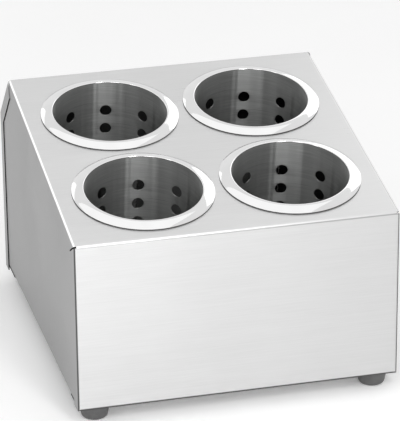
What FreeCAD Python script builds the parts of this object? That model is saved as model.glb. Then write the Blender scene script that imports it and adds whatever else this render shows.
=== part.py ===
import FreeCAD, Part

# Cutlery dispenser: a folded sheet-steel casing with a sloping top, and four
# perforated cups that hang in it by their rims and lift out.
#
# Frame: +X to the right, +Y to the back, +Z up, in millimetres. The origin lies
# on the ground in the middle of the outline. The casing's own frame has the
# same axes, and its origin is the middle of the front panel's lower edge.

import math
import os

import Sketcher
from FreeCAD import Placement, Rotation, Vector

document = FreeCAD.newDocument("cutlery_dispenser")

# ---------------------------------------------------------------- dimensions

DRIVING_DIMENSIONS = [
    # cups
    ("cup_bore", 97),
    ("cup_wall", 0.8),
    ("cup_height", 137),
    ("rim_width", 9.2),           # outside the wall
    ("rim_rise", 4),              # top of the rim above the casing's top
    ("rim_edge", 1.1),            # height of the rim's outer edge
    ("rim_crown", 18),            # radius of the rim's rounded top
    ("base_lip", 10),
    ("base_inside_corner", 2.2),
    ("base_fit", 0.05),           # between the base and the wall round it
    # perforation
    ("hole_diameter", 10),
    ("hole_columns", 9),
    ("hole_rows", 6),
    ("hole_first_row", 28.2),     # below the top of the rim
    ("hole_last_row", 18.8),      # above the cup's underside
    ("hole_turn", 9),             # first column, in degrees from the back
    ("base_hole_diameter", 8),
    ("base_rings", 2),
    ("base_ring_holes", 6),       # in the first ring; the next has twice as many
    ("base_ring_margin", 11.45),  # from the last ring to the edge of the flat floor
    # how the cups hang in the top
    ("well_clearance", 1.2),      # between a cup's wall and the edge of its well
    ("seat_clearance", 0.05),     # between the rim's edge and the top
    ("rim_gap", 7),               # between neighbouring rims
    ("front_margin", 11.5),       # from the front fold to the rims, along the top
    ("rear_margin", 14.9),        # from the rims to the top's rear edge
    ("side_margin", 14.5),        # from the rims to the sides
    ("top_slope", 10.13),         # in degrees
    ("gap_below_cups", 17.7),     # from the casing's lower edge up to the front cups
    # casing
    ("sheet", 1),
    ("fold_inside", 1.5),         # inside radius of every fold
    ("bevel_run", 44),            # run and drop of the bevel behind the top
    ("front_return", 15),         # the front panel's side returns
    ("rear_return", 14),          # the rear panel's side returns, lapped over the sides
    ("lap_clearance", 0.5),       # between a side's rear edge and the rear panel's inner fold
    ("relief_width", 1.4),        # slot at the upper front corners
    ("relief_drop", 9),
    ("side_lift", 3),             # the sides' lower edge above the front's
    ("end_flange", 33),           # lower flange of the front and of the rear panel
    ("side_flange", 25),          # lower flange of each side
    ("plate_size", 35),           # corner plate, from the casing's outside
    ("plate_corner", 4),
    # rubber feet
    ("foot_height", 12.5),
    ("foot_top_diameter", 26),
    ("foot_bottom_diameter", 21),
    ("foot_edge_radius", 3),
    ("foot_recess_depth", 6.5),
    ("foot_recess_clearance", 0.75),
    ("foot_inset_side", 17),
    ("foot_inset_end", 16.5),
    # foot fasteners
    ("screw_diameter", 4),
    ("screw_clearance", 0.2),     # round the shank in every hole
    ("screw_head_diameter", 8),
    ("screw_head_height", 2.6),
    ("screw_socket", 2.5),        # across the flats
    ("screw_socket_depth", 1.6),
    ("screw_end", 1),             # thread that stands out of the nut
    ("washer_diameter", 9),
    ("washer_thickness", 0.8),
    ("nut_width", 7),             # across the flats
    ("nut_height", 3.2),
    ("thread_clearance", 0.05),
]

sheet = document.addObject("Spreadsheet::Sheet", "dims")
for row, (alias, size) in enumerate(DRIVING_DIMENSIONS, start=1):
    sheet.set(f"A{row}", alias)
    sheet.set(f"B{row}", str(size))
    sheet.setAlias(f"B{row}", alias)
document.recompute()

# ------------------------------------------------- sizes that follow from them

CUP_RADIUS = "(dims.cup_bore / 2)"
CUP_OUTER_RADIUS = f"({CUP_RADIUS} + dims.cup_wall)"
CUP_BOTTOM = "(dims.rim_rise - dims.cup_height)"
BASE_CORNER = "(dims.base_inside_corner + dims.cup_wall)"
BASE_RADIUS = f"({CUP_RADIUS} - dims.base_fit)"
RIM_RADIUS = f"({CUP_OUTER_RADIUS} + dims.rim_width)"
CUP_SPACING = f"(2 * {RIM_RADIUS} + dims.rim_gap)"
FRONT_CUP_ALONG = f"(dims.front_margin + {RIM_RADIUS})"

SLOPE = "(1 deg * dims.top_slope)"
TOP_LENGTH = f"(dims.front_margin + 2 * {RIM_RADIUS} + {CUP_SPACING} + dims.rear_margin)"
TOP_RUN = f"({TOP_LENGTH} * cos({SLOPE}))"
FRONT_HEIGHT = (f"(dims.gap_below_cups - {CUP_BOTTOM} * cos({SLOPE})"
                f" - ({FRONT_CUP_ALONG} - {CUP_OUTER_RADIUS}) * sin({SLOPE}))")
REAR_HEIGHT = f"({FRONT_HEIGHT} + {TOP_LENGTH} * sin({SLOPE}))"
SHOULDER = f"({REAR_HEIGHT} - dims.bevel_run)"
DEPTH = f"({TOP_RUN} + dims.bevel_run)"
HALF_WIDTH = f"({CUP_SPACING} / 2 + {RIM_RADIUS} + dims.side_margin)"
INNER_HALF_WIDTH = f"({HALF_WIDTH} - dims.sheet)"
FOLD_OUTSIDE = "(dims.fold_inside + dims.sheet)"
LAP_HALF_WIDTH = f"({HALF_WIDTH} + dims.sheet)"
SIDE_INSET = f"({FOLD_OUTSIDE} + dims.lap_clearance)"
SIDE_END = f"({DEPTH} - {SIDE_INSET})"
SCREW_HOLE = "(dims.screw_diameter + 2 * dims.screw_clearance)"
NUT_SEAT = "(dims.side_lift + dims.sheet)"
BEVEL = "(45 deg)"
OVERCUT = "5"                     # how far a cutting profile runs past the solid
SAME = 1e-3                       # sizes that differ by less than this agree

CORNERS = {
    "front_left": (-1, -1),
    "front_right": (1, -1),
    "rear_left": (-1, 1),
    "rear_right": (1, 1),
}


def value(expression):
    """Return the number that an expression on the sheet comes to."""
    result = sheet.evalExpression(str(expression))
    return float(getattr(result, "Value", result))


def under_top(y):
    """Height at y of the sloping top's underside."""
    return f"({FRONT_HEIGHT} + ({y}) * tan({SLOPE}) - dims.sheet / cos({SLOPE}))"


def shoulder_point(inset):
    """Corner between the bevel and the upright back, on the profile inset by a distance."""
    return f"({DEPTH} - ({inset}))", f"({SHOULDER} - ({inset}) * tan({BEVEL} / 2))"


def mitre_point(inset):
    """Corner between the top and the bevel, on the profile inset by a distance."""
    along = f"(({inset}) * tan(({SLOPE} + {BEVEL}) / 2))"
    return (f"({TOP_RUN} - {along} * cos({SLOPE}) + ({inset}) * sin({SLOPE}))",
            f"({REAR_HEIGHT} - {along} * sin({SLOPE}) - ({inset}) * cos({SLOPE}))")


# ------------------------------------------------------------ drawing helpers

def new_body(name):
    """Start a sub-part; its label names its file."""
    body = document.addObject("PartDesign::Body", name)
    body.Label = name
    return body


def origin_feature(body, role):
    """Find one of the body's own origin planes or axes."""
    return next(item for item in body.Origin.OriginFeatures if item.Role == role)


def new_sketch(body, name, plane, lift="0", tilt_axis=None, tilt="0"):
    """Attach a sketch to an origin plane, lifted along its normal and tilted."""
    sketch = body.newObject("Sketcher::SketchObject", name)
    sketch.AttachmentSupport = [(origin_feature(body, plane), "")]
    sketch.MapMode = "FlatFace"
    if tilt_axis:
        sketch.AttachmentOffset = Placement(Vector(), Rotation(tilt_axis, value(tilt)))
        sketch.setExpression("AttachmentOffset.Rotation.Angle", tilt)
    sketch.setExpression("AttachmentOffset.Base.z", lift)
    return sketch


def bind(sketch, kind, where, expression):
    """Add a dimension to a sketch and tie it to the sheet."""
    index = sketch.addConstraint(Sketcher.Constraint(kind, *where, value(expression)))
    sketch.setExpression(f"Constraints[{index}]", expression)


def place_point(sketch, geometry, vertex, x, y):
    """Fix a point of a sketch at a distance from its origin."""
    bind(sketch, "DistanceX", (-1, 1, geometry, vertex), x)
    bind(sketch, "DistanceY", (-1, 1, geometry, vertex), y)


def arc_between(start, end, radius, left):
    """Short arc from start to end, with its centre to the left or to the right."""
    chord = end - start
    reach = math.sqrt(max(radius ** 2 - (chord.Length / 2) ** 2, 0))
    side = Vector(-chord.y, chord.x, 0).normalize()
    centre = (start + end) / 2 + side * (reach if left else -reach)
    circle = Part.Circle(centre, Vector(0, 0, 1), radius)
    first, last = (start, end) if left else (end, start)
    angles = [math.atan2(point.y - centre.y, point.x - centre.x) for point in (first, last)]
    return Part.ArcOfCircle(circle, *angles)


def draw_outline(sketch, corners, arcs=None):
    """Draw a closed outline through corners given as pairs of expressions.

    arcs maps a corner's number to (radius, left): the stretch from that corner
    to the next is then an arc, with its centre to the left or to the right.
    """
    arcs = arcs or {}
    first = sketch.GeometryCount
    points = [Vector(value(x), value(y), 0) for x, y in corners]
    ends = []
    for number, start in enumerate(points):
        end = points[(number + 1) % len(points)]
        if number in arcs:
            radius, left = arcs[number]
            sketch.addGeometry(arc_between(start, end, value(radius), left), False)
            ends.append((1, 2) if left else (2, 1))
        else:
            sketch.addGeometry(Part.LineSegment(start, end), False)
            ends.append((1, 2))
    for number, (x, y) in enumerate(corners):
        following = (number + 1) % len(corners)
        sketch.addConstraint(Sketcher.Constraint(
            "Coincident", first + number, ends[number][1], first + following, ends[following][0]))
        place_point(sketch, first + number, ends[number][0], x, y)
    for number, (radius, left) in arcs.items():
        bind(sketch, "Radius", (first + number,), radius)


def draw_rectangle(sketch, left, right, low, high):
    """Draw a rectangle between two levels across and two up the sketch."""
    draw_outline(sketch, [(left, low), (right, low), (right, high), (left, high)])


def draw_circle(sketch, x, y, diameter):
    """Draw a circle at a place given by expressions."""
    centre = Vector(value(x), value(y), 0)
    circle = Part.Circle(centre, Vector(0, 0, 1), value(diameter) / 2)
    index = sketch.addGeometry(circle, False)
    place_point(sketch, index, 3, x, y)
    bind(sketch, "Diameter", (index,), diameter)


def extrude(body, kind, sketch, length, midplane, backwards):
    """Move a sketch along its normal, to raise or to cut a solid."""
    feature = body.newObject(f"PartDesign::{kind}", f"{sketch.Name}_{kind.lower()}")
    feature.Profile = sketch
    feature.setExpression("Length", length)
    feature.Midplane = midplane
    feature.Reversed = backwards
    document.recompute()
    return feature


def pad(body, sketch, length, midplane=False, backwards=False):
    """Raise a sketch to a solid."""
    return extrude(body, "Pad", sketch, length, midplane, backwards)


def pocket(body, sketch, length, midplane=False, backwards=False):
    """Cut a sketch out of the body, and make sure that it cut something."""
    before = body.Tip.Shape.Volume
    feature = extrude(body, "Pocket", sketch, length, midplane, backwards)
    if feature.Shape.Volume >= before - SAME:
        raise RuntimeError(f"{feature.Name} cuts nothing")
    return feature


def revolve(body, sketch):
    """Turn a sketch once round the body's own Z axis."""
    feature = body.newObject("PartDesign::Revolution", f"{sketch.Name}_turned")
    feature.Profile = sketch
    feature.ReferenceAxis = (origin_feature(body, "Z_Axis"), [""])
    feature.Angle = 360
    document.recompute()
    return feature


def mirror(body, feature):
    """Repeat a feature on the other side, left for right."""
    mirrored = body.newObject("PartDesign::Mirrored", f"{feature.Name}_mirrored")
    mirrored.Originals = [feature]
    mirrored.MirrorPlane = (origin_feature(body, "YZ_Plane"), [""])
    body.Tip = mirrored
    document.recompute()


def polar_pattern(body, feature, count):
    """Repeat a feature evenly round the body's own Z axis."""
    pattern = body.newObject("PartDesign::PolarPattern", f"{feature.Name}_ring")
    pattern.Originals = [feature]
    pattern.Axis = (origin_feature(body, "Z_Axis"), [""])
    pattern.Angle = 360
    pattern.setExpression("Occurrences", count)
    body.Tip = pattern
    document.recompute()


def fillet(body, name, radius, chosen):
    """Round every edge of the body that the test chooses."""
    base = body.Tip
    edges = [f"Edge{number}" for number, edge in enumerate(base.Shape.Edges, start=1)
             if chosen(edge)]
    if not edges:
        raise RuntimeError(f"{name} finds no edge")
    feature = body.newObject("PartDesign::Fillet", name)
    feature.Base = (base, edges)
    feature.setExpression("Radius", radius)
    document.recompute()


def take_out(body, hollow):
    """Cut a hollow, drawn as a body of its own in the same frame, out of a body."""
    feature = body.newObject("PartDesign::Boolean", f"{hollow.Name}_cut")
    feature.setObjects([hollow])
    feature.Type = "Cut"
    body.Tip = feature
    document.recompute()


def near(first, second):
    """Whether two sizes agree, in millimetres."""
    return abs(first - second) < SAME


def on_any_line(lines):
    """Make a test for edges that lie on one of the lines through pairs of points."""
    def chosen(edge):
        first, last = edge.ParameterRange
        places = [edge.valueAt(at) for at in (first, (first + last) / 2, last)]
        return any(all(place.distanceToLine(start, end - start) < SAME for place in places)
                   for start, end in lines)
    return chosen


def on_both_sides(half_width, profile):
    """Give the lines through a run of profile points, on the left and the right."""
    lines = []
    for x in (-value(half_width), value(half_width)):
        points = [Vector(x, value(y), value(z)) for y, z in profile]
        lines += zip(points, points[1:])
    return lines


def across(half_width, profile):
    """Give the lines from side to side through each of the profile points."""
    x = value(half_width)
    return [(Vector(-x, value(y), value(z)), Vector(x, value(y), value(z))) for y, z in profile]


# -------------------------------------------------------------------- casing

def place_in_casing(item, x="0", y="0", z="0"):
    """Place a sub-part at a point given in the casing's own frame."""
    item.setExpression("Placement.Base.x", x)
    item.setExpression("Placement.Base.y", f"({y}) - {DEPTH} / 2")
    item.setExpression("Placement.Base.z", f"({z}) + dims.foot_height")


def foot_place(corner):
    """Place of a foot's centre, across and along the casing."""
    side, end = CORNERS[corner]
    x = f"({side} * ({HALF_WIDTH} - dims.foot_inset_side))"
    y = "dims.foot_inset_end" if end < 0 else f"({DEPTH} - dims.foot_inset_end)"
    return x, y


def make_casing_hood():
    """Top, sides and front, folded from one sheet."""
    hood = new_body("casing_hood")

    block = new_sketch(hood, "hood_profile", "YZ_Plane")
    foot_of_front = ("0", "0")
    front_fold = ("0", FRONT_HEIGHT)
    rear_edge = (TOP_RUN, REAR_HEIGHT)
    draw_outline(block, [
        foot_of_front,
        (SIDE_END, "0"),
        shoulder_point(SIDE_INSET),
        mitre_point(SIDE_INSET),
        rear_edge,
        front_fold,
    ])
    pad(hood, block, f"2 * {HALF_WIDTH}", midplane=True)
    fillet(hood, "outer_folds", FOLD_OUTSIDE, on_any_line(
        on_both_sides(HALF_WIDTH, [foot_of_front, front_fold, rear_edge])
        + across(HALF_WIDTH, [foot_of_front, front_fold])))

    # The inside leaves the front's lower flange, and is open below and behind.
    hollow = new_body("hood_hollow")
    inside = new_sketch(hollow, "hood_inside", "YZ_Plane")
    far_y = f"({DEPTH} + {OVERCUT})"
    inner_foot = ("dims.sheet", "dims.sheet")
    inner_fold = ("dims.sheet", under_top("dims.sheet"))
    inner_rear = (far_y, under_top(far_y))
    draw_outline(inside, [
        inner_foot,
        ("dims.end_flange", "dims.sheet"),
        ("dims.end_flange", f"-{OVERCUT}"),
        (far_y, f"-{OVERCUT}"),
        inner_rear,
        inner_fold,
    ])
    pad(hollow, inside, f"2 * {INNER_HALF_WIDTH}", midplane=True)
    fillet(hollow, "hood_inner_folds", "dims.fold_inside", on_any_line(
        on_both_sides(INNER_HALF_WIDTH, [inner_foot, inner_fold, inner_rear])
        + across(INNER_HALF_WIDTH, [inner_foot, inner_fold])))
    take_out(hood, hollow)

    # Behind the front returns the sides stop short, at their own lower flange.
    step = new_sketch(hood, "side_step", "XY_Plane")
    draw_rectangle(step, INNER_HALF_WIDTH, f"{HALF_WIDTH} + {OVERCUT}", "dims.front_return", far_y)
    step_cut = pocket(hood, step, f"2 * (dims.side_lift + {FOLD_OUTSIDE})", midplane=True)
    mirror(hood, step_cut)

    flange = new_sketch(hood, "side_flange", "XZ_Plane", lift="-dims.front_return")
    draw_flange(flange, f"({HALF_WIDTH} - dims.side_flange)", HALF_WIDTH, "dims.side_lift")
    flange_pad = pad(hood, flange, f"{SIDE_END} - dims.front_return", backwards=True)
    mirror(hood, flange_pad)

    wells = new_sketch(hood, "cup_wells", "XY_Plane", lift=FRONT_HEIGHT,
                       tilt_axis=Vector(1, 0, 0), tilt=SLOPE)
    for place in CORNERS:
        x, along = cup_place(place)
        draw_circle(wells, x, along, f"2 * ({CUP_OUTER_RADIUS} + dims.well_clearance)")
    pocket(hood, wells, "2 * dims.sheet")

    relief = new_sketch(hood, "corner_relief", "YZ_Plane", lift=HALF_WIDTH)
    draw_relief(relief)
    relief_cut = pocket(hood, relief, FOLD_OUTSIDE)
    mirror(hood, relief_cut)

    bores = new_sketch(hood, "hood_screw_holes", "XY_Plane")
    for corner in CORNERS:
        draw_circle(bores, *foot_place(corner), SCREW_HOLE)
    pocket(hood, bores, f"2 * ({NUT_SEAT} + {OVERCUT})", midplane=True)

    place_in_casing(hood)
    return hood


def draw_flange(sketch, edge, outside, height):
    """Section of a lower flange, and of the fold that joins it to its panel."""
    fold_start = f"({outside} - {FOLD_OUTSIDE})"
    fold_top = f"({height} + {FOLD_OUTSIDE})"
    upper_face = f"({height} + dims.sheet)"
    draw_outline(sketch, [
        (edge, height),
        (fold_start, height),
        (outside, fold_top),
        (f"({outside} - dims.sheet)", fold_top),
        (fold_start, upper_face),
        (edge, upper_face),
    ], arcs={1: (FOLD_OUTSIDE, True), 3: ("dims.fold_inside", False)})


def draw_relief(sketch):
    """Narrow slot from the upper front corner, down and back to the return's edge."""
    length = "sqrt(dims.front_return^2 + dims.relief_drop^2)"
    across_y = f"(dims.relief_width / 2 * dims.relief_drop / {length})"
    across_z = f"(dims.relief_width / 2 * dims.front_return / {length})"
    low = f"({FRONT_HEIGHT} - dims.relief_drop)"
    high = f"({FRONT_HEIGHT} + {OVERCUT} * dims.relief_drop / dims.front_return)"
    draw_outline(sketch, [
        (f"-{OVERCUT} - {across_y}", f"{high} - {across_z}"),
        (f"dims.front_return - {across_y}", f"{low} - {across_z}"),
        (f"dims.front_return + {across_y}", f"{low} + {across_z}"),
        (f"-{OVERCUT} + {across_y}", f"{high} + {across_z}"),
    ])


def make_rear_panel():
    """Bevel and back, folded from one sheet; its returns lap over the hood's sides."""
    panel = new_body("rear_panel")

    block = new_sketch(panel, "rear_profile", "YZ_Plane")
    foot_of_back = (DEPTH, "0")
    top_edge = (TOP_RUN, REAR_HEIGHT)
    draw_outline(block, [
        (f"{DEPTH} - dims.rear_return", "0"),
        foot_of_back,
        shoulder_point("0"),
        top_edge,
        mitre_point("dims.rear_return"),
        shoulder_point("dims.rear_return"),
    ])
    pad(panel, block, f"2 * {LAP_HALF_WIDTH}", midplane=True)
    fillet(panel, "outer_folds", FOLD_OUTSIDE, on_any_line(
        on_both_sides(LAP_HALF_WIDTH, [foot_of_back, shoulder_point("0"), top_edge])
        + across(LAP_HALF_WIDTH, [foot_of_back, shoulder_point("0")])))

    # The inside is open ahead of the returns; it runs on past the mitred edge.
    hollow = new_body("rear_hollow")
    inside = new_sketch(hollow, "rear_inside", "YZ_Plane")
    past_top = (f"{shoulder_point('dims.sheet')[0]} - 2 * dims.bevel_run",
                f"{shoulder_point('dims.sheet')[1]} + 2 * dims.bevel_run")
    inner_foot = (f"{DEPTH} - dims.sheet", f"-{OVERCUT}")
    draw_outline(inside, [
        inner_foot,
        shoulder_point("dims.sheet"),
        past_top,
        (past_top[0], f"-{OVERCUT}"),
    ])
    pad(hollow, inside, f"2 * {HALF_WIDTH}", midplane=True)
    fillet(hollow, "rear_inner_folds", "dims.fold_inside", on_any_line(
        on_both_sides(HALF_WIDTH, [inner_foot, shoulder_point("dims.sheet"), past_top])
        + across(HALF_WIDTH, [shoulder_point("dims.sheet")])))
    take_out(panel, hollow)

    flange = new_sketch(panel, "rear_flange", "YZ_Plane")
    draw_flange(flange, f"({DEPTH} - dims.end_flange)", DEPTH, "0")
    pad(panel, flange, f"2 * {INNER_HALF_WIDTH}", midplane=True)

    bores = new_sketch(panel, "rear_screw_holes", "XY_Plane")
    for corner in ("rear_left", "rear_right"):
        draw_circle(bores, *foot_place(corner), SCREW_HOLE)
    pocket(panel, bores, f"2 * (dims.sheet + {OVERCUT})", midplane=True)

    place_in_casing(panel)
    return panel


def make_corner_plate(corner):
    """Packing plate between the end flange and the side flange above it."""
    plate = new_body(f"corner_plate_{corner}")
    side, end = CORNERS[corner]
    outline = new_sketch(plate, f"plate_{corner}", "XY_Plane")
    draw_rectangle(outline,
                   f"{side} * (dims.foot_inset_side - dims.plate_size)",
                   f"{side} * (dims.foot_inset_side - {FOLD_OUTSIDE})",
                   f"{end} * (dims.foot_inset_end - dims.plate_size)",
                   f"{end} * (dims.foot_inset_end - {FOLD_OUTSIDE})")
    pad(plate, outline, "dims.side_lift - dims.sheet")
    fillet(plate, f"plate_corners_{corner}", "dims.plate_corner",
           lambda edge: near(edge.BoundBox.ZLength, edge.Length))
    bore = new_sketch(plate, f"plate_hole_{corner}", "XY_Plane")
    draw_circle(bore, "0", "0", SCREW_HOLE)
    pocket(plate, bore, "2 * dims.side_lift", midplane=True)
    place_in_casing(plate, *foot_place(corner), "dims.sheet")
    return plate


# ---------------------------------------------------------------------- cups

def cup_place(place):
    """Place of a cup's axis on the sloping top: across, and along from the fold."""
    side, end = CORNERS[place]
    along = FRONT_CUP_ALONG if end < 0 else f"({FRONT_CUP_ALONG} + {CUP_SPACING})"
    return f"({side} * {CUP_SPACING} / 2)", along


def place_in_well(item, place):
    """Stand a sub-part of a cup square to the top, with its origin in the well."""
    x, along = cup_place(place)
    item.Placement = Placement(Vector(), Rotation(Vector(1, 0, 0), value(SLOPE)))
    item.setExpression("Placement.Rotation.Angle", SLOPE)
    place_in_casing(item, x, f"{along} * cos({SLOPE})",
                    f"{FRONT_HEIGHT} + {along} * sin({SLOPE})")


def turned_sketch(body, name):
    """Sketch through a cup's axis, turned with the cup's columns of holes."""
    return new_sketch(body, name, "XZ_Plane",
                      tilt_axis=Vector(0, 1, 0), tilt="-1 deg * dims.hole_turn")


def make_cup_shell(place):
    """Perforated wall with its rolled rim, drawn from one sheet."""
    shell = new_body(f"cup_shell_{place}")

    section = turned_sketch(shell, f"shell_section_{place}")
    wall_end = f"({CUP_BOTTOM} + {BASE_CORNER})"
    under_rim = "(dims.rim_rise - dims.cup_wall)"
    edge_inside = f"({RIM_RADIUS} - dims.cup_wall)"
    draw_outline(section, [
        (CUP_RADIUS, wall_end),
        (CUP_RADIUS, under_rim),
        (CUP_OUTER_RADIUS, "dims.rim_rise"),
        (RIM_RADIUS, "dims.rim_edge"),
        (RIM_RADIUS, "dims.seat_clearance"),
        (edge_inside, "dims.seat_clearance"),
        (edge_inside, "(dims.rim_edge - dims.cup_wall / 2)"),
        (CUP_OUTER_RADIUS, under_rim),
        (CUP_OUTER_RADIUS, wall_end),
    ], arcs={
        1: ("dims.cup_wall", False),
        2: ("dims.rim_crown", False),
        6: ("dims.rim_crown - dims.cup_wall", True),
    })
    revolve(shell, section)

    column = turned_sketch(shell, f"hole_column_{place}")
    pitch = "(dims.cup_height - dims.hole_first_row - dims.hole_last_row) / (dims.hole_rows - 1)"
    for row in range(round(value("dims.hole_rows"))):
        height = f"dims.rim_rise - dims.hole_first_row - {row} * {pitch}"
        draw_circle(column, "0", height, "dims.hole_diameter")
    cut = pocket(shell, column, f"{CUP_OUTER_RADIUS} + {OVERCUT}")
    polar_pattern(shell, cut, "dims.hole_columns")

    place_in_well(shell, place)
    return shell


def make_cup_base(place):
    """Perforated dish that closes the lower end of the wall."""
    base = new_body(f"cup_base_{place}")

    section = turned_sketch(base, f"base_section_{place}")
    edge_inside = f"({BASE_RADIUS} - dims.cup_wall)"
    flat_radius = f"({BASE_RADIUS} - {BASE_CORNER})"
    floor = f"({CUP_BOTTOM} + dims.cup_wall)"
    corner_top = f"({CUP_BOTTOM} + {BASE_CORNER})"
    lip_top = f"({CUP_BOTTOM} + dims.base_lip)"
    draw_outline(section, [
        ("0", CUP_BOTTOM),
        (flat_radius, CUP_BOTTOM),
        (BASE_RADIUS, corner_top),
        (BASE_RADIUS, lip_top),
        (edge_inside, lip_top),
        (edge_inside, corner_top),
        (flat_radius, floor),
        ("0", floor),
    ], arcs={1: (BASE_CORNER, True), 5: ("dims.base_inside_corner", False)})
    revolve(base, section)

    # One hole in the middle of the flat floor, and rings of holes round it.
    depth = f"2 * {BASE_CORNER}"
    middle = new_sketch(base, f"base_hole_{place}", "XY_Plane", lift=CUP_BOTTOM)
    draw_circle(middle, "0", "0", "dims.base_hole_diameter")
    pocket(base, middle, depth, midplane=True)
    for ring in range(1, round(value("dims.base_rings")) + 1):
        hole = new_sketch(base, f"base_ring_{ring}_{place}", "XY_Plane", lift=CUP_BOTTOM)
        radius = f"({flat_radius} - dims.base_ring_margin) * {ring} / dims.base_rings"
        draw_circle(hole, radius, "0", "dims.base_hole_diameter")
        cut = pocket(base, hole, depth, midplane=True)
        polar_pattern(base, cut, f"{ring} * dims.base_ring_holes")

    place_in_well(base, place)
    return base


# ---------------------------------------------------------------------- feet

RECESS_RADIUS = "(dims.washer_diameter / 2 + dims.foot_recess_clearance)"
RECESS_TOP = "(dims.foot_recess_depth - dims.foot_height)"
HEAD_TOP = f"({RECESS_TOP} - dims.washer_thickness)"


def make_foot(corner):
    """Rubber foot, screwed on from below, with the screw's head sunk in it."""
    foot = new_body(f"foot_{corner}")
    section = new_sketch(foot, f"foot_section_{corner}", "XZ_Plane")
    draw_outline(section, [
        (f"{SCREW_HOLE} / 2", "0"),
        ("dims.foot_top_diameter / 2", "0"),
        ("dims.foot_bottom_diameter / 2", "-dims.foot_height"),
        (RECESS_RADIUS, "-dims.foot_height"),
        (RECESS_RADIUS, RECESS_TOP),
        (f"{SCREW_HOLE} / 2", RECESS_TOP),
    ])
    revolve(foot, section)
    rounded = value("dims.foot_bottom_diameter * pi")
    fillet(foot, f"foot_edge_{corner}", "dims.foot_edge_radius",
           lambda edge: near(edge.Length, rounded))
    place_in_casing(foot, *foot_place(corner))
    return foot


def primitive(kind, name, sizes, corner, height):
    """Make a Part primitive that stands on a foot's axis at a height in the casing."""
    item = document.addObject(kind, name)
    for size, expression in sizes.items():
        item.setExpression(size, expression)
    place_in_casing(item, *foot_place(corner), height)
    return item


def cut_from(name, base, tool):
    """Cut one solid out of another."""
    cut = document.addObject("Part::Cut", name)
    cut.Base = base
    cut.Tool = tool
    return cut


def hexagon(name, width, height_size, corner, height):
    """Make a hexagonal bar from its width across the flats."""
    bar = primitive("Part::Prism", name, {
        "Circumradius": f"{width} / 2 / cos(30 deg)",
        "Height": height_size,
    }, corner, height)
    bar.Polygon = 6
    return bar


def make_screw(corner):
    """Socket screw, head down, through foot, flanges and corner plate."""
    head_base = f"({HEAD_TOP} - dims.screw_head_height)"
    head = primitive("Part::Cylinder", f"screw_head_{corner}", {
        "Radius": "dims.screw_head_diameter / 2",
        "Height": "dims.screw_head_height",
    }, corner, head_base)
    shank = primitive("Part::Cylinder", f"screw_shank_{corner}", {
        "Radius": "dims.screw_diameter / 2",
        "Height": f"{NUT_SEAT} + dims.nut_height + dims.screw_end - {HEAD_TOP}",
    }, corner, HEAD_TOP)
    joined = document.addObject("Part::Fuse", f"screw_blank_{corner}")
    joined.Base = head
    joined.Tool = shank
    socket = hexagon(f"screw_socket_{corner}", "dims.screw_socket", "dims.screw_socket_depth",
                     corner, head_base)
    return cut_from(f"screw_{corner}", joined, socket)


def make_washer(corner):
    """Washer between the screw's head and the rubber."""
    disc = primitive("Part::Cylinder", f"washer_disc_{corner}", {
        "Radius": "dims.washer_diameter / 2",
        "Height": "dims.washer_thickness",
    }, corner, HEAD_TOP)
    bore = primitive("Part::Cylinder", f"washer_bore_{corner}", {
        "Radius": f"{SCREW_HOLE} / 2",
        "Height": "dims.washer_thickness",
    }, corner, HEAD_TOP)
    return cut_from(f"washer_{corner}", disc, bore)


def make_nut(corner):
    """Hexagon nut on the side flange."""
    bar = hexagon(f"nut_bar_{corner}", "dims.nut_width", "dims.nut_height", corner, NUT_SEAT)
    bore = primitive("Part::Cylinder", f"nut_bore_{corner}", {
        "Radius": "dims.screw_diameter / 2 + dims.thread_clearance",
        "Height": "dims.nut_height",
    }, corner, NUT_SEAT)
    return cut_from(f"nut_{corner}", bar, bore)


def make_set(name, make):
    """Gather the four identical fasteners, one at each corner, in one sub-part."""
    gathered = document.addObject("Part::Compound", name)
    gathered.Label = name
    gathered.Links = [make(corner) for corner in CORNERS]
    return gathered


# ------------------------------------------------------------------ assembly

subparts = [make_casing_hood(), make_rear_panel()]
for corner in CORNERS:
    subparts.append(make_corner_plate(corner))
    subparts.append(make_foot(corner))
    subparts.append(make_cup_shell(corner))
    subparts.append(make_cup_base(corner))
subparts.append(make_set("foot_screws", make_screw))
subparts.append(make_set("foot_washers", make_washer))
subparts.append(make_set("foot_nuts", make_nut))
document.recompute()

for item in document.Objects:
    if "Invalid" in item.State or "Error" in item.State:
        raise RuntimeError(f"{item.Name} could not be built: {item.State}")
for subpart in subparts:
    if subpart.Shape.isNull() or not subpart.Shape.isValid():
        raise RuntimeError(f"{subpart.Label} has no valid shape")

os.makedirs("parts", exist_ok=True)
for subpart in subparts:
    subpart.Shape.exportStep(f"parts/{subpart.Label}.step")
    box = subpart.Shape.BoundBox
    print(f"{subpart.Label}: {len(subpart.Shape.Solids)} solid(s), {subpart.Shape.Volume:.0f} mm3, "
          f"x {box.XMin:.1f}..{box.XMax:.1f}, y {box.YMin:.1f}..{box.YMax:.1f}, "
          f"z {box.ZMin:.1f}..{box.ZMax:.1f}")
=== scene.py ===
# %% [markdown]
# # Cutlery dispenser in brushed stainless steel
# A folded sheet-steel casing stands on four rubber feet. Its sloping top has
# four round wells, and a perforated cup for cutlery hangs in each by its rim.
# The construction comes in as a fixed frame: its sheets, feet and screws are
# exact already and only need a finish. The cups get new meshes, because their
# polished rims and rows of holes are what the eye goes to first.

import math

import bmesh
import bpy
from mathutils import Matrix, Vector


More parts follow.
